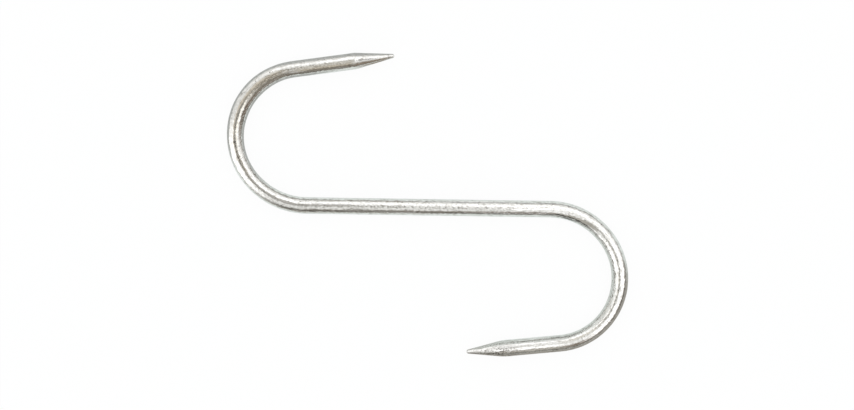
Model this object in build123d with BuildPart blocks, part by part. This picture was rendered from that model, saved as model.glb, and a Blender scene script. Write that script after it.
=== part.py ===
from build123d import *
import os
from math import asin, atan, cos, degrees, hypot, radians, sin, sqrt

# S hook with two points: one length of round drawn steel wire, bent into an S in one plane and ground
# to a point at each end. It lies flat on the XY plane, with the origin under the middle of its box.
# The shank runs along X. The upper bend is at the -X end, with its arm on the +Y side, and the lower
# bend is at the +X end, with its arm on the -Y side. Lengths are in millimetres, turns in degrees.

# Wire, and the length over the outsides of both bends
wire_diameter = 5.0
hook_length = 120.0

# Upper bend: an easy heel off the shank, then a tighter crown, with radii to the middle of the wire
upper_heel_radius = 21.8
upper_heel_turn = 56.5
upper_crown_radius = 19.9
upper_crown_turn = 115.0

# Lower bend, closed a little further than the upper one
lower_heel_radius = 21.2
lower_heel_turn = 63.5
lower_crown_radius = 19.5
lower_crown_turn = 110.5

# Upper arm: a straight run beyond the crown, then a long cone with a crisp shoulder and a rounded tip
upper_straight_length = 18.5
upper_point_length = 11.8
upper_shoulder_radius = 4.0
upper_tip_radius = 0.65

# Lower arm, with the shoulder of its cone rubbed round
lower_straight_length = 17.0
lower_point_length = 11.0
lower_shoulder_radius = 18.0
lower_tip_radius = 0.65

wire_radius = wire_diameter / 2


def bend_reach(heel_radius, heel_turn, crown_radius):
    # How far the middle of the wire runs on past the shank before it turns back
    heel_share = sin(radians(heel_turn))
    return heel_radius * heel_share + crown_radius * (1 - heel_share)


def arm_rise(heel_radius, heel_turn, crown_radius, crown_turn, straight_length):
    # From the middle of the shank to the outside of the arm at the shoulder of its point
    heel_share = cos(radians(heel_turn))
    arm_share = cos(radians(heel_turn + crown_turn))
    slope_share = sin(radians(heel_turn + crown_turn))
    bend_rise = heel_radius * (1 - heel_share) + crown_radius * (heel_share - arm_share)
    return bend_rise + straight_length * slope_share - wire_radius * arm_share


# The shank is as long as the bends leave it, and placed so that the box of the hook is centred
upper_reach = bend_reach(upper_heel_radius, upper_heel_turn, upper_crown_radius)
lower_reach = bend_reach(lower_heel_radius, lower_heel_turn, lower_crown_radius)
shank_start = wire_radius + upper_reach - hook_length / 2
shank_end = hook_length / 2 - wire_radius - lower_reach
upper_rise = arm_rise(
    upper_heel_radius, upper_heel_turn, upper_crown_radius, upper_crown_turn, upper_straight_length
)
lower_rise = arm_rise(
    lower_heel_radius, lower_heel_turn, lower_crown_radius, lower_crown_turn, lower_straight_length
)
shank_offset = (lower_rise - upper_rise) / 2


def ground_point(crown, straight_length, point_length, shoulder_radius, tip_radius):
    # Straight run, shoulder, cone and tip in half section, turned about the middle of the wire.
    # The flank of the cone runs from the shoulder to the tip's round, which it meets tangentially.
    cone_height = point_length - tip_radius
    corner_to_tip = hypot(cone_height, wire_radius)
    flank_length = sqrt(corner_to_tip**2 - tip_radius**2)
    taper = degrees(atan(wire_radius / cone_height) - asin(tip_radius / corner_to_tip))
    arm_start = crown @ 1
    arm_heading = crown % 1
    with BuildSketch(Plane(arm_start, x_dir=arm_heading, z_dir=(0, 0, 1))) as half_section:
        with BuildLine():
            root = Line((0, 0), (0, wire_radius))
            side = Line(root @ 1, (straight_length, wire_radius))
            flank = PolarLine(side @ 1, flank_length, -taper)
            tip = JernArc(flank @ 1, flank % 1, tip_radius, taper - 90)
            Line(tip @ 1, root @ 0)
        make_face()
        shoulder = half_section.vertices().sort_by_distance(side @ 1)[0]
        fillet(shoulder, radius=shoulder_radius)
    revolve(half_section.sketch, axis=Axis(arm_start, arm_heading))


with BuildPart() as s_hook:
    # Middle line of the wire between its two straight ends
    with BuildLine(Plane.XY.offset(wire_radius)) as middle_line:
        shank = Line((shank_start, shank_offset), (shank_end, shank_offset))
        upper_heel = JernArc(shank @ 0, -(shank % 0), upper_heel_radius, -upper_heel_turn)
        upper_crown = JernArc(upper_heel @ 1, upper_heel % 1, upper_crown_radius, -upper_crown_turn)
        lower_heel = JernArc(shank @ 1, shank % 1, lower_heel_radius, -lower_heel_turn)
        lower_crown = JernArc(lower_heel @ 1, lower_heel % 1, lower_crown_radius, -lower_crown_turn)

    # Round wire along it
    with BuildSketch(Plane(upper_crown @ 1, z_dir=upper_crown % 1)):
        Circle(wire_radius)
    sweep(path=middle_line.wires()[0])

    # The two arms, each ending in its ground point
    ground_point(
        upper_crown, upper_straight_length, upper_point_length, upper_shoulder_radius, upper_tip_radius
    )
    ground_point(
        lower_crown, lower_straight_length, lower_point_length, lower_shoulder_radius, lower_tip_radius
    )

s_hook.part.label = "s_hook"

os.makedirs("parts", exist_ok=True)
export_step(s_hook.part, "parts/s_hook.step")
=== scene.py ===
import math

import bpy
import numpy as np
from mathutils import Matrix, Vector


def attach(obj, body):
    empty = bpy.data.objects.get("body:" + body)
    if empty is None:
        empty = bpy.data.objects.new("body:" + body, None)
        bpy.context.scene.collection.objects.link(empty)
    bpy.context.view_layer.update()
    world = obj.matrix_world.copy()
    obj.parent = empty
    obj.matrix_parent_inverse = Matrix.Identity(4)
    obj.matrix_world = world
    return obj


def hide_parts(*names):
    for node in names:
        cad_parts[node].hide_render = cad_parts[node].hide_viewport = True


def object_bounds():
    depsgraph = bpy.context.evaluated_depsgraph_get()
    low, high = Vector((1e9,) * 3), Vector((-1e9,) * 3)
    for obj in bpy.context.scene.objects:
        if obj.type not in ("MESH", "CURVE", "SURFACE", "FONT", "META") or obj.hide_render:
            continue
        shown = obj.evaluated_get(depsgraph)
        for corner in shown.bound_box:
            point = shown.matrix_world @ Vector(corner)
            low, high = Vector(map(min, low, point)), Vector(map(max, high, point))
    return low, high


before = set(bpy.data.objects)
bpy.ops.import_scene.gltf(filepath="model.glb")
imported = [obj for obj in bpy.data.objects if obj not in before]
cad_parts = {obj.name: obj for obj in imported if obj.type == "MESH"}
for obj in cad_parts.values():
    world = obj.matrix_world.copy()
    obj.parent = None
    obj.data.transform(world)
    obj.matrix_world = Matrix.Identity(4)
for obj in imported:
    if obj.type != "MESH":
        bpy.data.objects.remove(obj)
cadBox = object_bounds()
mm = 0.001  # the scene is in metres, and the hook's sizes below are in millimetres
micron = 0.001  # a thousandth of a millimetre, for the depths of marks

# The wire as it was bent: a shank, an easy heel and a tighter crown at each end,
# then a straight arm that ends in its ground point
hook = {
    "wire": 5.0,
    "length": 120.0,  # over the outsides of both bends
    "upper": {"heelRadius": 21.8, "heelTurn": 56.5, "crownRadius": 19.9, "crownTurn": 115.0,
              "straight": 18.5, "point": 11.8, "shoulder": 4.0, "tip": 0.65, "shoulderStep": 0.25},
    "lower": {"heelRadius": 21.2, "heelTurn": 63.5, "crownRadius": 19.5, "crownTurn": 110.5,
              "straight": 17.0, "point": 11.0, "shoulder": 18.0, "tip": 0.65, "shoulderStep": 0.9},
    # where the bending tool pressed the upper crown, by the run from the upper tip
    "press": {"run": 46.0, "half": 10.5, "wider": 0.22, "flatter": 0.12},
    "rings": 1240,  # stations along the wire
    "around": 80,  # vertices in each ring
    "tipRings": 12,  # of those stations, how many round off each tip
    "tipArc": 0.47,  # how far these go round the tip's ball, in half turns
    "fineSteps": 40000,  # steps in which the middle line is summed up
    "bakeStrips": 4,  # the bake map lays the wire out as this many strips
    "bakeGap": 0.02,  # of a strip, left free along each of its sides
    "seed": 7,
}

# Marks in the surface: depth in thousandths of a millimetre, and the lengths along and round the wire,
# in millimetres, over which they are softened
relief = {
    "mean": 36.0,  # the mean depth below the drawn circle
    "least": 12.0,  # no mark comes nearer to the drawn circle than this
    "dents": {"deep": 4.0, "along": 0.5, "round": 0.2},
    "grains": {"deep": 6.0, "along": 0.24, "round": 0.2},
    "drawLines": {"deep": 2.0, "along": 9.0, "round": 0.15},
    "waves": {"deep": 6.0, "along": 4.0, "round": 1.3},
    "grindLines": {"deep": 5.0, "along": 0.2, "round": 0.6},
    "grindFlats": {"deep": 18.0, "along": 3.0, "round": 0.7},
    "scuffs": {"deep": 14.0, "along": 0.24, "round": 0.2, "place": -1.2, "halfRound": 1.7,
               "fromEnd": 9.5, "half": 5.0},
    # rows of worn dots: the end they are measured from, the run from that tip to their middle,
    # half their run, their place round the wire, half their width and how strong they are
    "dotRows": {"upperCone": ("upper", 9.4, 2.2, 0.2, 0.24, 1.0),
                "lowerCone": ("lower", 5.5, 3.2, -0.2, 0.45, 1.0),
                "upperBend": ("upper", 61.0, 12.0, 0.0, 0.24, 0.85),
                "lowerBend": ("lower", 56.0, 12.0, 0.18, 0.2, 0.9)},
    "nick": {"deep": 60.0, "run": 60.9, "round": 0.1, "halfLong": 0.25, "halfRound": 0.3},
    "tipGroove": {"deep": 60.0, "fromTip": 1.8, "half": 0.2, "dark": 0.45},
}
# each noise is drawn from the seed plus its place in this row
drawOrder = ("dents", "drawLines", "grains", "grindLines", "grindFlats", "waves", "scuffs")
humpPower = 3  # how flat a mark is on top, and how steep at its sides


def bendReach(end):
    # how far the wire's middle runs on past the shank: the heel's radius by the sine of its turn,
    # and the crown's radius by what the sine leaves
    heel = math.sin(math.radians(end["heelTurn"]))
    return end["heelRadius"] * heel + end["crownRadius"] * (1 - heel)


def pointRadius(fromTip, end, wireRadius):
    # wire radius against the distance from the tip: a ball, a straight flank that meets it tangentially,
    # a round where the flank meets the wire, and then the wire itself
    tip, point, shoulder = end["tip"], end["point"], end["shoulder"]
    reach = math.hypot(point - tip, wireRadius)
    taper = math.atan(wireRadius / (point - tip)) - math.asin(tip / reach)
    ball = np.sqrt(np.maximum(tip**2 - (tip - fromTip) ** 2, 0))
    flank = wireRadius - (point - fromTip) * math.tan(taper)
    half = shoulder * math.tan(taper / 2)  # the round starts this far up the wire from the corner
    intoRound = point + half - fromTip
    rounded = wireRadius - shoulder + np.sqrt(np.maximum(shoulder**2 - intoRound**2, 0))
    radius = np.where(fromTip < tip * (1 - math.sin(taper)), ball, flank)
    radius = np.where(fromTip > point - half * math.cos(taper), rounded, radius)
    return np.where(intoRound <= 0, wireRadius, radius)


def wireStations(total):
    # even steps along the wire, with each tip's first steps set by even angles round its ball
    ball = 1 - np.cos(np.linspace(0, hook["tipArc"] * math.pi, hook["tipRings"] + 1))
    first = hook["upper"]["tip"] * ball
    last = total - hook["lower"]["tip"] * ball[::-1]
    middle = np.linspace(first[-1], last[0], hook["rings"] - 2 * hook["tipRings"])
    return np.concatenate([first[:-1], middle, last[1:]])


def wireRun():
    # The heading is level on straight runs and changes evenly on arcs, so it is a broken line over the run,
    # and the middle line is the running sum of its cosine and sine, from the upper tip to the lower one
    upper, lower = hook["upper"], hook["lower"]
    shank = hook["length"] - hook["wire"] - bendReach(upper) - bendReach(lower)
    turns = [0, upper["crownTurn"], upper["heelTurn"], 0, -lower["heelTurn"], -lower["crownTurn"], 0]
    pieces = [upper["straight"] + upper["point"]]
    pieces += [upper[bend + "Radius"] * math.radians(upper[bend + "Turn"]) for bend in ("crown", "heel")]
    pieces += [shank]
    pieces += [lower[bend + "Radius"] * math.radians(lower[bend + "Turn"]) for bend in ("heel", "crown")]
    pieces += [lower["straight"] + lower["point"]]
    ends = np.concatenate([[0], np.cumsum(pieces)])
    headings = np.radians(np.concatenate([[0], np.cumsum(turns)]))
    headings -= headings[3]  # the shank's own heading is along +X
    fine = np.linspace(0, ends[-1], hook["fineSteps"] + 1)
    fineHeading = np.interp(fine, ends, headings)
    between = (fineHeading[1:] + fineHeading[:-1]) / 2
    fineX = np.concatenate([[0], np.cumsum(np.cos(between))]) * fine[1]
    fineY = np.concatenate([[0], np.cumsum(np.sin(between))]) * fine[1]
    run = wireStations(ends[-1])
    heading = np.interp(run, ends, headings)
    upperRadius = pointRadius(run, upper, hook["wire"] / 2)
    lowerRadius = pointRadius(run[-1] - run, lower, hook["wire"] / 2)
    radius = np.minimum(upperRadius, lowerRadius)
    return run, np.interp(run, fine, fineX), np.interp(run, fine, fineY), heading, radius


def hump(distance, half):
    # a soft flat-topped hump, 1 in the middle and nearly 0 beyond one and a half of its half width:
    # exp(-|distance / half|^power)
    return np.exp(-np.abs(distance / half) ** humpPower)


def softNoise(shape, mark, draw):
    # white noise softened by a Gaussian that is longer one way than the other, without a seam round
    # the ring: its spectrum times exp(-2 (pi frequency length)^2) each way, and then scaled to its depth
    step = hook["wire"] * math.pi / shape[1]
    noise = np.random.default_rng(hook["seed"] + draw).normal(size=shape)
    alongRate = np.fft.fftfreq(shape[0], step)[:, None]
    roundRate = np.fft.fftfreq(shape[1], step)[None, :]
    exponent = (math.pi * alongRate * mark["along"]) ** 2 + (math.pi * roundRate * mark["round"]) ** 2
    field = np.real(np.fft.ifft2(np.fft.fft2(noise) * np.exp(-2 * exponent)))
    return field / field.std() * mark["deep"]


def groundShare(run):
    # 1 on the two ground points and 0 on the drawn wire, with a short step between them
    upperEdge = (hook["upper"]["point"] - run) / hook["upper"]["shoulderStep"]
    lowerEdge = (run - run[-1] + hook["lower"]["point"]) / hook["lower"]["shoulderStep"]
    return np.clip(np.maximum(upperEdge, lowerEdge) + 0.5, 0, 1)


def nickShare(run, roundPlace):
    # 1 in the middle of the one dark nick in the upper crown, by its run and its place round the wire,
    # and less in the groove round the upper tip
    nick = relief["nick"]
    place = hump(run - nick["run"], nick["halfLong"]) * hump(roundPlace - nick["round"], nick["halfRound"])
    groove = relief["tipGroove"]
    return place + groove["dark"] * hump(run - groove["fromTip"], groove["half"])


def scuffShare(run, roundPlace):
    # 1 in the middle of the scuffed patch at the lower shoulder, and each row's strength along its dots
    scuffs = relief["scuffs"]
    toEnd = {"upper": run, "lower": run[-1] - run}
    share = hump(toEnd["lower"] - scuffs["fromEnd"], scuffs["half"])
    share = share * hump(roundPlace - scuffs["place"], scuffs["halfRound"])
    for end, fromTip, half, place, halfRound, strength in relief["dotRows"].values():
        row = strength * hump(toEnd[end] - fromTip, half)
        share = np.maximum(share, row * hump(roundPlace - place, halfRound))
    return share


def markDepth(run, roundPlace, radius, ground, nick, scuffed):
    # depth below the smooth wire: the mean depth less the softened noises, each in its own zone,
    # plus the groove round the upper tip and the nick
    shape = (len(run), roundPlace.shape[1])
    noise = {mark: softNoise(shape, relief[mark], draw) for draw, mark in enumerate(drawOrder)}
    drawn = noise["dents"] + noise["drawLines"] + noise["grains"]
    filed = noise["grindLines"] + noise["grindFlats"]
    marks = drawn * (1 - ground) + filed * ground + noise["waves"] + noise["scuffs"] * scuffed
    groove = relief["tipGroove"]
    grooved = groove["deep"] * hump(run - groove["fromTip"], groove["half"])
    depth = relief["mean"] - marks + grooved + relief["nick"]["deep"] * nick
    finer = np.clip(radius / (hook["wire"] / 2), 0, 1)  # marks get finer towards the tips
    return np.maximum(depth, relief["least"]) * finer * micron


def addMesh(name, points, faces):
    mesh = bpy.data.meshes.new(name)
    mesh.from_pydata(points.tolist(), [], faces)
    mesh.polygons.foreach_set("use_smooth", np.ones(len(mesh.polygons), bool))
    mesh.update()
    piece = bpy.data.objects.new(name, mesh)
    bpy.context.scene.collection.objects.link(piece)
    return piece


def addAttribute(piece, name, kind, field, values):
    # one value for each vertex, under a name that a material can read
    piece.data.attributes.new(name, kind, "POINT").data.foreach_set(field, values.ravel())


def ringGrid(rows, columns):
    # quads between rings, as ring and column of their four corners, wound to face out of a tube
    ring = np.arange(rows - 1)[:, None, None] + np.array([0, 0, 1, 1])
    column = np.arange(columns)[None, :, None] + np.array([0, 1, 1, 0])
    ring, column = np.broadcast_arrays(ring, column)
    return ring, column


def tubeFaces(rows, columns):
    # the same quads as vertex numbers, with each ring closed
    ring, column = ringGrid(rows, columns)
    return (ring * columns + column % columns).reshape(-1, 4)


def poleFan(pole, ringStart, columns):
    # a triangle from the pole to each edge of the ring whose first vertex is given
    here = np.arange(columns)
    beside = (here + 1) % columns
    return np.stack([np.full(columns, pole), ringStart + here, ringStart + beside], -1)


def turnedOver(fan):
    # the same triangles, wound to face the other way
    return fan[:, [0, 2, 1]]


def bakeMap(piece, run, rows, columns):
    # the wire is cut into strips that lie one above the other:
    # across is the run, and up is the place round the wire
    strips, gap = hook["bakeStrips"], hook["bakeGap"]
    ring, column = ringGrid(rows, columns)
    strip = np.minimum(ring[..., :1] * strips // (rows - 1), strips - 1)
    strip = np.broadcast_to(strip, ring.shape)
    fanColumn = np.arange(columns)[:, None]
    firstColumn = fanColumn + np.array([0.5, 1, 0])
    lastColumn = fanColumn + np.array([0.5, 0, 1])
    firstRun = np.tile(run[[0, 1, 1]], columns)
    lastRun = np.tile(run[[-1, -2, -2]], columns)
    firstStrip = np.zeros(len(firstRun))
    lastStrip = np.full(len(lastRun), strips - 1)
    atRun = np.concatenate([run[1 + ring].ravel(), firstRun, lastRun])
    atColumn = np.concatenate([column.ravel(), firstColumn.ravel(), lastColumn.ravel()])
    atStrip = np.concatenate([strip.ravel(), firstStrip, lastStrip])
    stripLength = run[-1] / strips
    across = 0.5 + (atRun / stripLength - atStrip - 0.5) * (1 - 2 * gap)
    up = (atStrip + gap + (1 - 2 * gap) * atColumn / columns) / strips
    layer = piece.data.uv_layers.new(name="OFBake")
    layer.uv.foreach_set("vector", np.stack([across, up], -1).astype(np.float32).ravel())


def makeHook():
    # point = middle + radius * (wide * cos(around) * sideways + tall * sin(around) * up),
    # with both tips drawn in to one vertex
    run, x, y, heading, radius = wireRun()
    rows, columns = len(run) - 2, hook["around"]
    around = np.linspace(0, 2 * math.pi, columns, endpoint=False)[None, :] - math.pi / 2
    inner = slice(1, -1)  # the first and last stations are the poles
    ringRun, ringRadius, ringHeading = run[inner, None], radius[inner, None], heading[inner, None]
    half = hook["wire"] / 2
    roundPlace = (around - math.pi / 2) * half  # from the top of the wire, to the right of the run
    ground = groundShare(run)[inner, None]
    nick = nickShare(ringRun, roundPlace)
    scuffed = scuffShare(ringRun, roundPlace)
    ringRadius = ringRadius - markDepth(ringRun, roundPlace, ringRadius, ground, nick, scuffed)
    press = hook["press"]
    pressed = hump(ringRun - press["run"], press["half"])
    across = (ringRadius + press["wider"] * pressed) * np.cos(around)
    px = x[inner, None] - across * np.sin(ringHeading)
    py = y[inner, None] + across * np.cos(ringHeading)
    pz = (ringRadius - press["flatter"] * pressed) * np.sin(around)
    poles = np.array([[x[0], y[0], 0], [x[-1], y[-1], 0]])
    points = np.concatenate([np.stack([px, py, pz], -1).reshape(-1, 3), poles]) * mm
    lowest, highest = (np.array(corner) for corner in cadBox)
    points += (lowest + highest) / 2 - (points.max(0) + points.min(0)) / 2
    firstPole, lastPole = rows * columns, rows * columns + 1
    firstFan = turnedOver(poleFan(firstPole, 0, columns))
    lastFan = poleFan(lastPole, (rows - 1) * columns, columns)
    faces = tubeFaces(rows, columns).tolist() + firstFan.tolist() + lastFan.tolist()
    piece = addMesh("bentWire", points, faces)
    # the wire laid out straight, for marks that follow it
    laid = np.stack(np.broadcast_arrays(ringRun, half * np.cos(around), half * np.sin(around)), -1)
    laidPoles = [[run[0], 0, 0], [run[-1], 0, 0]]
    laid = np.concatenate([laid.reshape(-1, 3), laidPoles]) * mm
    addAttribute(piece, "laidStraight", "FLOAT_VECTOR", "vector", laid)
    # the shares of ground, nicked and scuffed metal, with their value at the poles
    shares = {"groundShare": (ground, 1), "nickShare": (nick, 0), "scuffShare": (scuffed, 0)}
    for name, (share, atPole) in shares.items():
        values = np.append(np.broadcast_to(share, (rows, columns)).ravel(), [atPole, atPole])
        addAttribute(piece, name, "FLOAT", "value", values)
    bakeMap(piece, run, rows, columns)
    print("bent wire:", rows, "rings of", columns, "vertices,", round(run[-1], 1), "mm of wire")
    return piece


def addNode(tree, kind, inputs=None, **settings):
    # a node with its settings; an input that is another node's socket is linked, and any other is its value
    node = tree.nodes.new("ShaderNode" + kind)
    for name, value in settings.items():
        setattr(node, name, value)
    for name, value in (inputs or {}).items():
        if isinstance(value, bpy.types.NodeSocket):
            tree.links.new(value, node.inputs[name])
        else:
            node.inputs[name].default_value = value
    return node


def newTree(material):
    material.use_nodes = True
    material.node_tree.nodes.clear()
    return material.node_tree


# A Mix node keeps sockets 6 and 7 for colours, and 2 and 3 for values
def mixColour(tree, share, first, second):
    return addNode(tree, "Mix", {0: share, 6: first, 7: second}, data_type="RGBA").outputs[2]


def mixValue(tree, share, first, second):
    return addNode(tree, "Mix", {0: share, 2: first, 3: second}).outputs[0]


def mathValue(tree, operation, first, second):
    return addNode(tree, "Math", {0: first, 1: second}, operation=operation).outputs[0]


# Bright drawn steel, with colours as the metal's own
steel = {
    "clean": (0.785, 0.780, 0.745),
    "dull": (0.66, 0.653, 0.62),
    "line": (0.36, 0.34, 0.30),
    "scuff": (0.18, 0.165, 0.145),
    "pit": (0.10, 0.09, 0.08),
    "ground": (0.75, 0.745, 0.713),
    # noises: the size of their grains along the wire and round it, in millimetres, the detail in them,
    # and the low and the high value that count as none and as all
    "grain": ((0.72, 0.6), 0.5, (0.30, 0.70)),
    "cloud": ((7.0, 3.0), 2.0, (0.3, 0.7)),
    "dash": ((1.8, 0.34), 1.0, (0.58, 0.68)),
    "speck": ((0.5, 0.3), 0.0, (0.765, 0.81)),
    "mottle": ((0.6, 0.45), 1.0, (0.50, 0.58)),
    "grind": ((0.22, 2.5), 2.0, (0.3, 0.7)),
    "dashCover": 0.6,  # how much of a drawing line's colour shows
    "scuffCover": 0.95,  # the same for a scuff
    "grindBump": 0.35,  # how far the bump on ground metal follows its grinding lines
    "rough": (0.09, 0.16),
    "groundRough": (0.16, 0.26),
    "grainDeep": 17.0,  # thousandths of a millimetre
}


def steelNoise(tree, laid, name):
    # noise on the wire laid out straight, stretched so that it runs from none to all
    (along, across), detail, (low, high) = steel[name]
    lengths = [1 / (length * mm) for length in (along, across, across)]
    spread = addNode(tree, "VectorMath", {0: laid, 1: lengths}, operation="MULTIPLY").outputs["Vector"]
    noise = addNode(tree, "TexNoise", {"Vector": spread, "Scale": 1.0, "Detail": detail}).outputs["Fac"]
    return addNode(tree, "MapRange", {"Value": noise, "From Min": low, "From Max": high}).outputs["Result"]


def makeSteel():
    # drawn metal is clean and dull grains with dark drawing lines and specks,
    # and ground metal has lines round the point
    material = bpy.data.materials.new("hookSteel")
    tree = newTree(material)
    laid = addNode(tree, "Attribute", attribute_name="laidStraight").outputs["Vector"]
    ground, nick, scuffed = (addNode(tree, "Attribute", attribute_name=name).outputs["Fac"]
                             for name in ("groundShare", "nickShare", "scuffShare"))
    grain, cloud, dash, speck, mottle, grind = (
        steelNoise(tree, laid, name) for name in ("grain", "cloud", "dash", "speck", "mottle", "grind"))
    colours = {name: (*steel[name], 1) for name in ("clean", "dull", "line", "scuff", "pit", "ground")}
    drawn = mixColour(tree, grain, colours["clean"], colours["dull"])
    filed = mixColour(tree, grind, colours["ground"], colours["dull"])
    dashes = mathValue(tree, "MULTIPLY", dash, steel["dashCover"])
    scuffs = mathValue(tree, "MULTIPLY", mathValue(tree, "MULTIPLY", scuffed, mottle), steel["scuffCover"])
    colour = mixColour(tree, ground, drawn, filed)
    for share, name in ((dashes, "line"), (scuffs, "scuff"), (speck, "pit"), (nick, "pit")):
        colour = mixColour(tree, share, colour, colours[name])
    drawnRough = mixValue(tree, cloud, *steel["rough"])
    filedRough = mixValue(tree, grind, *steel["groundRough"])
    rough = mixValue(tree, ground, drawnRough, filedRough)
    height = mixValue(tree, mathValue(tree, "MULTIPLY", ground, steel["grindBump"]), grain, grind)
    deep = steel["grainDeep"] * micron * mm
    bump = addNode(tree, "Bump", {"Height": height, "Strength": 1.0, "Distance": deep}).outputs["Normal"]
    surface = {"Base Color": colour, "Roughness": rough, "Metallic": 1.0, "Normal": bump}
    shader = addNode(tree, "BsdfPrincipled", surface).outputs[0]
    addNode(tree, "OutputMaterial", {"Surface": shader})
    print("steel:", len(tree.nodes), "nodes")
    return material


# The camera looks straight down; where the hook's origin falls is a pixel of the 854 x 410 frame
camera = {
    "frame": (854, 410),
    "origin": (427.6, 204.7),
    "pixel": 0.2974,  # millimetres to the pixel at the wire's middle
    "roll": 0.88,  # degrees
    "lens": 85.0,
    "clip": 100,  # how many times nearer and farther than the hook it still sees
}


def makeCamera():
    lens = bpy.data.cameras.new("viewFromAbove")
    lens.lens = camera["lens"]
    wide, high = camera["frame"]
    distance = wide * camera["pixel"] * mm * camera["lens"] / lens.sensor_width
    roll = math.radians(camera["roll"])
    right = (wide / 2 - camera["origin"][0]) * camera["pixel"] * mm
    up = (camera["origin"][1] - high / 2) * camera["pixel"] * mm
    viewer = bpy.data.objects.new("viewFromAbove", lens)
    viewer.location = (right * math.cos(roll) - up * math.sin(roll),
                       right * math.sin(roll) + up * math.cos(roll),
                       distance + hook["wire"] / 2 * mm)
    viewer.rotation_euler = (0, 0, roll)
    lens.clip_start = distance / camera["clip"]
    lens.clip_end = distance * camera["clip"]
    bpy.context.scene.collection.objects.link(viewer)
    bpy.context.scene.camera = viewer
    print("camera:", round(distance / mm), "mm above the hook")


# A white room and a pale floor
studio = {
    "room": (1.0, 1.0, 1.0),
    "floor": (0.94, 0.98, 0.98),
    "cameraTint": (1.0, 1.0, 1.0),
    "cameraGlow": 0.94,  # how much of the floor's white is its own; the rest takes the shadow
    "metalGlow": 0.5,  # the same as the metal shows it
    "metalTint": (0.93, 1.0, 1.0),
    "floorRadius": 4.0,  # metres
    "floorCore": 0.02,  # the rings' shares of the radius are the squares of even steps from this to 1
    "floorRings": 5,
    "floorSides": 96,
}


def makeStudio():
    world = bpy.data.worlds.new("whiteRoom")
    world.use_nodes = True
    world.node_tree.nodes["Background"].inputs["Color"].default_value = (*studio["room"], 1)
    world.cycles.sampling_method = "NONE"
    bpy.context.scene.world = world
    # floor: a disc, radius by angle, with one face that closes its middle
    rows, columns = studio["floorRings"], studio["floorSides"]
    radius = studio["floorRadius"] * np.linspace(studio["floorCore"], 1, rows)[:, None] ** 2
    angle = np.linspace(0, 2 * math.pi, columns, endpoint=False)[None, :]
    disc = np.broadcast_arrays(radius * np.cos(angle), radius * np.sin(angle), 0)
    quads = tubeFaces(rows, columns)[:, ::-1]
    floor = addMesh("paleFloor", np.stack(disc, -1).reshape(-1, 3), quads.tolist() + [list(range(columns))])
    shade = bpy.data.materials.new("paleFloor")
    tree = newTree(shade)
    paint = addNode(tree, "BsdfDiffuse", {"Color": (*studio["floor"], 1)}).outputs[0]
    path = addNode(tree, "LightPath").outputs
    metalTint, cameraTint = (*studio["metalTint"], 1), (*studio["cameraTint"], 1)
    glowColour = mixColour(tree, path["Is Camera Ray"], metalTint, cameraTint)
    glow = addNode(tree, "Emission", {"Color": glowColour}).outputs[0]
    metal = mathValue(tree, "MAXIMUM", path["Is Glossy Ray"], path["Is Transmission Ray"])
    metalShare = mathValue(tree, "MULTIPLY", metal, studio["metalGlow"])
    cameraShare = mathValue(tree, "MULTIPLY", path["Is Camera Ray"], studio["cameraGlow"])
    share = mathValue(tree, "MAXIMUM", cameraShare, metalShare)
    mix = addNode(tree, "MixShader", {"Fac": share, 1: paint, 2: glow}).outputs[0]
    addNode(tree, "OutputMaterial", {"Surface": mix})
    floor.data.materials.append(shade)
    print("studio: white room and pale floor")


# Tints of the tents and cards
plain, warm, brown, grey = (1.0, 1.0, 1.02), (1.04, 1.0, 0.93), (1.10, 1.0, 0.86), (0.97, 1.0, 1.0)
rust, teal, pale = (1.24, 1.0, 0.79), (0.94, 1.0, 0.985), (1.03, 1.0, 0.97)
upperBend, lowerBend = (-33, 22), (33, -22)  # the points that some of them stand round

# Round the hook stand tents that only the metal shows. A panel is the azimuth of its middle from +X, its
# angle from straight up, half its width and half its height, in degrees, its brightness and its tint.
tents = {
    "roomTent": {
        "middle": (0, 0), "radius": 2000, "cloth": 1.0,
        "panels": {
            "leftWindow": (210, 75, 40, 30, 1.65, plain),
            "leftHighWindow": (195, 40, 20, 15, 1.75, plain),
            "backWindow": (65, 40, 60, 15, 1.6, plain),
            "rightHighWindow": (30, 20, 35, 12, 1.65, plain),
            "frontWall": (270, 85, 50, 32, 0.2, warm),
            "frontRightWall": (320, 55, 50, 22, 0.2, rust),
            "rightSkirting": (345, 85, 40, 12, 0.15, brown),
            "backSkirting": (65, 85, 55, 10, 0.45, plain),
            "lens": (180, 8, 18, 6, 0.35, pale),
        },
    },
    "lowerCards": {
        "middle": lowerBend, "radius": 60, "cloth": None,
        "panels": {
            "leftCard": (205, 70, 35, 12, 0.3, warm),
            "overheadCard": (80, 15, 10, 18, 1.6, plain),
        },
    },
    "upperCards": {
        "middle": upperBend, "radius": 60, "cloth": None,
        "panels": {
            "overheadCard": (-105, 18, 20, 13, 0.55, pale),
            "backCard": (165, 35, 25, 15, 0.7, brown),
        },
    },
}
panelPower = 2.2  # how steeply a panel ends
leastSpread = 1e-3  # keeps the far side of a tent from a division by zero
# a tent's lowest ring is this many degrees from straight up, a little below the floor
tentGrid = {"rows": 90, "columns": 240, "lowest": 93}


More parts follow.
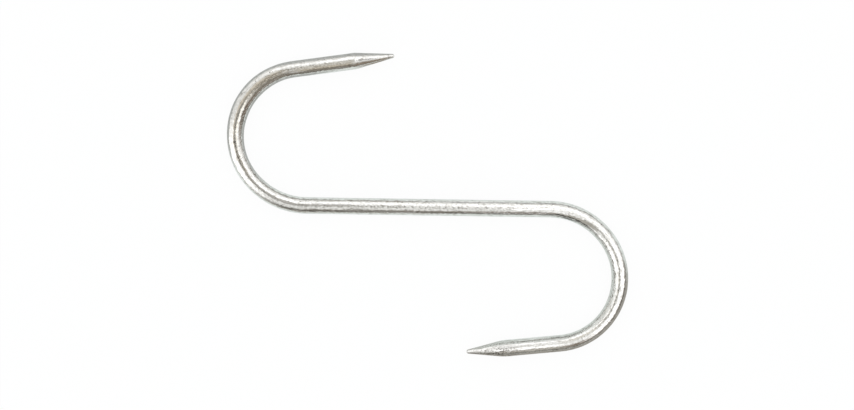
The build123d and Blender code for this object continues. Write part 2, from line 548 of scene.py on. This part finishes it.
def paintTent(direction, tent):
    # brightness and cover by direction: each panel covers what is behind it by exp(-k^power), where k is
    # the squared distance from its middle in half widths and half heights, on the plane that touches
    # the tent there
    cloth = tent["cloth"]
    paint = np.full(direction.shape, cloth or 0.0)
    see = np.full(len(direction), 0.0 if cloth else 1.0)
    for azimuth, fromUp, wide, tall, level, tint in tent["panels"].values():
        a, h = math.radians(azimuth), math.radians(fromUp)
        middle = np.array([math.sin(h) * math.cos(a), math.sin(h) * math.sin(a), math.cos(h)])
        sideways = np.array([-math.sin(a), math.cos(a), 0])
        down = np.array([math.cos(h) * math.cos(a), math.cos(h) * math.sin(a), -math.sin(h)])
        spread = np.maximum(leastSpread, 1 + direction @ middle) / 2
        k = (direction @ sideways / spread / math.radians(wide)) ** 2
        k += (direction @ down / spread / math.radians(tall)) ** 2
        cover = np.exp(-(k**panelPower))
        paint = paint * (1 - cover[:, None]) + level * np.array(tint) * cover[:, None]
        see = see * (1 - cover)
    return np.concatenate([paint, see[:, None]], -1)


def clothMaterial():
    # glows on its inner side as painted and lets through what isn't covered; from outside it isn't there
    cloth = bpy.data.materials.new("tentCloth")
    tree = newTree(cloth)
    paint = addNode(tree, "Attribute", attribute_name="paint")
    glow = addNode(tree, "Emission", {"Color": paint.outputs["Color"]}).outputs[0]
    through = addNode(tree, "BsdfTransparent", {"Color": paint.outputs["Alpha"]}).outputs[0]
    inside = addNode(tree, "AddShader", {0: glow, 1: through}).outputs[0]
    outside = addNode(tree, "BsdfTransparent").outputs[0]
    backfacing = addNode(tree, "NewGeometry").outputs["Backfacing"]
    mix = addNode(tree, "MixShader", {"Fac": backfacing, 1: inside, 2: outside}).outputs[0]
    addNode(tree, "OutputMaterial", {"Surface": mix})
    cloth.cycles.emission_sampling = "NONE"
    return cloth


def showToMetalOnly(thing):
    thing.visible_camera = thing.visible_diffuse = thing.visible_shadow = False
    thing.visible_transmission = thing.visible_volume_scatter = False


def hangCloth(name, points, faces, paint, cloth):
    # a painted sheet round the hook, from points in millimetres
    sheet = addMesh(name, points * mm, faces)
    addAttribute(sheet, "paint", "FLOAT_COLOR", "color", paint)
    sheet.data.materials.append(cloth)
    showToMetalOnly(sheet)


def makeTents(cloth):
    # dome: angle from straight up by azimuth, with its top drawn in to one vertex
    # and its faces turned inwards
    rows, columns, lowest = tentGrid["rows"], tentGrid["columns"], tentGrid["lowest"]
    fromUp = np.radians(np.linspace(lowest, lowest / rows, rows))[:, None]
    azimuth = np.linspace(0, 2 * math.pi, columns, endpoint=False)[None, :]
    flat = np.sin(fromUp)
    rings = np.broadcast_arrays(flat * np.cos(azimuth), flat * np.sin(azimuth), np.cos(fromUp))
    direction = np.concatenate([np.stack(rings, -1).reshape(-1, 3), [[0, 0, 1]]])
    fan = turnedOver(poleFan(rows * columns, (rows - 1) * columns, columns))
    faces = tubeFaces(rows, columns)[:, ::-1].tolist() + fan.tolist()
    for name, tent in tents.items():
        paint = paintTent(direction, tent)
        hangCloth(name, direction * tent["radius"] + [*tent["middle"], 0], faces, paint, cloth)
        brightness = round(float(paint[:, :3].mean()), 2)
        print("tent:", name, len(tent["panels"]), "panels, mean brightness", brightness)


# Flat cards lie on the floor or hang over the wire, each a sector: the point it is drawn about, from which
# azimuth to which, its fade at both ends in degrees, its inner and outer radius, its height, its brightness
# and its tint. Where the wire runs straight, the point lies far off and the sector is nearly a strip.
upperCrown, lowerCrown, lowerHeel = (-37.6, 20), (38, -21.2), (36.5, -22.1)
upperTip, lowerTip, upperCone, lowerCone = (-10.6, 44.1), (12.2, -43.5), (-16, 43), (18, -43)
upperArm, lowerArm = (-14.2, -57.5), (10.6, 157.4)
flatCards = {
    # on the floor
    # painted shadow of the hook on the floor outside the lower bend, a dark sheet that only the metal shows
    "lowerFloorShadow": (lowerBend, (-143, 6), 11, (21, 120), 0.4, 0.42, warm),
    # painted shade on the floor outside the upper bend, a grey sheet that only the metal shows
    "upperFloorShadow": (upperBend, (40, 198), 11, (21, 120), 0.4, 0.57, grey),
    # painted shade on the floor inside the upper bend, a grey sheet that only the metal shows
    "insideFloorShadow": (upperCrown, (40, 225), 25, (2, 16.5), 0.4, 0.56, grey),
    "frontFloorCard": ((0, 200), (246, 271), 1, (215, 340), 0.4, 0.45, warm),
    # painted shadow on the floor inside the lower bend by the heel, a near-black sheet that only the metal
    # shows
    "heelFloorShadow": ((42, -3), (247, 267), 9, (5.5, 23), 0.5, 0.06, warm),
    # over the upper crown
    "crownCard": (upperCrown, (108, 146), 12, (9, 23.5), 20, 0.42, brown),
    "backRing": (upperCrown, (146, 228), 6, (17.5, 24.5), 20, 0.42, warm),
    "streakCard": (upperCrown, (148, 188), 6, (12.2, 17), 19.8, 1.45, warm),
    # over and beside the lower arm, the lower heel and the end of the shank
    "armCard": ((9, 157), (271, 280), 1.5, (202.5, 212), 20, 1.6, plain),
    "heelWedge": ((47.3, -17), (80, 172), 6, (6, 11.5), 9, 0.5, warm),
    "heelLight": (lowerHeel, (70, 93), 5, (14.8, 20.2), 10, 1.25, plain),
    "heelCard": ((41.5, -1), (246, 277), 5, (8.4, 18.5), 7.4, 0.03, brown),
    "heelLine": (lowerHeel, (24, 54), 5, (15.2, 18), 20, 0.35, warm),
    "shankCard": ((24, 199), (265.6, 273.2), 0.9, (210.4, 224), 7.2, 0.08, warm),
    # over the upper arm
    "armTopCard": (upperArm, (94.7, 105), 0.8, (97.4, 101.5), 10, 0.72, warm),
    "armInsideCard": (upperArm, (94.7, 105), 0.8, (94.7, 97.4), 10, 0.58, brown),
    "armEdgeCard": (upperArm, (94.7, 104), 0.8, (86, 94.7), 10, 0.27, brown),
    # beyond the tips, on the floor and over it
    "upperTipFloor": (upperTip, (-45, 62), 8, (0.5, 40), 0.45, 1.1, plain),
    "upperTipCard": (upperTip, (-45, 62), 8, (1.5, 30), 5, 1.1, plain),
    "lowerTipFloor": (lowerTip, (140, 232), 8, (0.5, 25), 0.45, 1.1, plain),
    "lowerTipCard": (lowerTip, (140, 232), 8, (1.5, 30), 5, 1.1, plain),
    # over and beside the upper cone
    "coneCard": ((0.8, -55.3), (96.6, 100.2), 0.4, (97.2, 100.6), 20, 0.03, brown),
    "coneSideCard": (upperCone, (255, 318), 6, (6, 22), 10, 0.26, rust),
    # over and beside the lower crown, the lower arm and the upper heel
    "frontCard": (lowerCrown, (-60, 32), 8, (22.5, 48), 20, 1.6, plain),
    "lowerRing": (lowerCrown, (-64, 24), 6, (12.8, 15.4), 20, 0.9, warm),
    "lowerEndRing": (lowerCrown, (-84, -48), 6, (10.5, 16.8), 20, 0.82, warm),
    "armRing": (lowerArm, (272.6, 279), 1, (196.2, 199.3), 10, 1.15, plain),
    "heelRing": (upperCrown, (192, 214), 5, (12.6, 17.4), 20, 0.5, brown),
    "armSideCard": (lowerArm, (272, 279), 1, (207.5, 214), 10, 0.62, warm),
    "armFarCard": (lowerArm, (270, 281), 1, (214, 245), 10, 0.36, warm),
    "armInnerCard": (lowerArm, (272.5, 279), 1, (193, 196), 8, 1.0, plain),
    # over and beside the lower point
    "pointCard": (lowerArm, (269.3, 272.6), 0.4, (192.5, 203), 10, 1.5, plain),
    "pointSideCard": (lowerCone, (60, 140), 8, (6.5, 12), 8.2, 0.8, teal),
    "pointRimCard": (lowerCone, (55, 125), 8, (7.5, 18), 6, 0.74, teal),
    # inside the lower bend
    "lowerInsideCard": (lowerCrown, (-100, 40), 20, (2, 16.2), 0.4, 0.84, teal),
    "lowerInnerCard": (lowerCrown, (-84, -8), 8, (0.5, 9.5), 10, 0.88, teal),
    "armInnerFarCard": (lowerArm, (272.5, 279), 1, (184.5, 193), 8.2, 0.78, teal),
    "pointFloorCard": (lowerCone, (40, 150), 8, (2.5, 18), 0.4, 0.76, teal),
    # inside the upper bend, by the start of the shank and by the upper cone
    "innerCard": (upperCrown, (148, 164), 8, (0.5, 15.1), 10, 0.17, rust),
    "innerEndCard": (upperCrown, (106, 142), 5, (9, 15), 10, 0.27, brown),
    "shankTopCard": ((-27, -199), (88.2, 91.8), 0.5, (202.4, 206.6), 20, 0.95, plain),
    "coneFloorCard": (upperCone, (255, 318), 6, (2.5, 14), 0.4, 0.32, rust),
}
# slatted cards, by the pitch of their slats in millimetres and how dark these are
slats = {"crownCard": (5.0, 0.7), "backRing": (3.5, 0.7),
         "armTopCard": (1.4, 0.35), "armInsideCard": (1.35, 0.35)}
noSlats = (1.0, 0.0)
cardGrid = {"rows": 40, "columns": 90}
floorTop = 1.0  # cards above this height, in millimetres, are seen from below


def makeFlatCards(cloth):
    # a flat sector: radius by azimuth at one height, which fades out towards its two ends,
    # with slats as a cosine over the radius
    rows, columns = cardGrid["rows"], cardGrid["columns"]
    ring, column = ringGrid(rows, columns)
    quads = (ring * columns + column)[:, :-1].reshape(-1, 4)
    for name, (middle, ends, fade, radii, height, level, tint) in flatCards.items():
        radius = np.linspace(*radii, rows)[:, None]
        degrees = np.linspace(ends[0] - fade, ends[1] + fade, columns)[None, :]
        x = middle[0] + radius * np.cos(np.radians(degrees))
        y = middle[1] + radius * np.sin(np.radians(degrees))
        points = np.stack(np.broadcast_arrays(x, y, height), -1).reshape(-1, 3)
        fromEnd = np.minimum(degrees - ends[0], ends[1] - degrees) / fade
        cover = np.broadcast_to(np.clip(fromEnd / 2 + 0.5, 0, 1), (rows, columns)).reshape(-1, 1)
        pitch, dark = slats.get(name, noSlats)
        slat = dark * np.cos(2 * math.pi * (radius - radii[0]) / pitch)
        shine = level * np.broadcast_to(1 - slat, (rows, columns)).reshape(-1, 1)
        paint = np.concatenate([cover * np.array(tint) * shine, 1 - cover], -1)
        faces = quads if height > floorTop else quads[:, ::-1]
        hangCloth(name, points, faces.tolist(), paint, cloth)
    print("flat cards:", len(flatCards))


bpy.context.scene.view_settings.view_transform = "Standard"
makeCamera()
makeStudio()
tentCloth = clothMaterial()
makeTents(tentCloth)
makeFlatCards(tentCloth)
bentWire = makeHook()
bentWire.data.materials.append(makeSteel())
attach(bentWire, "root")
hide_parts("s_hook")
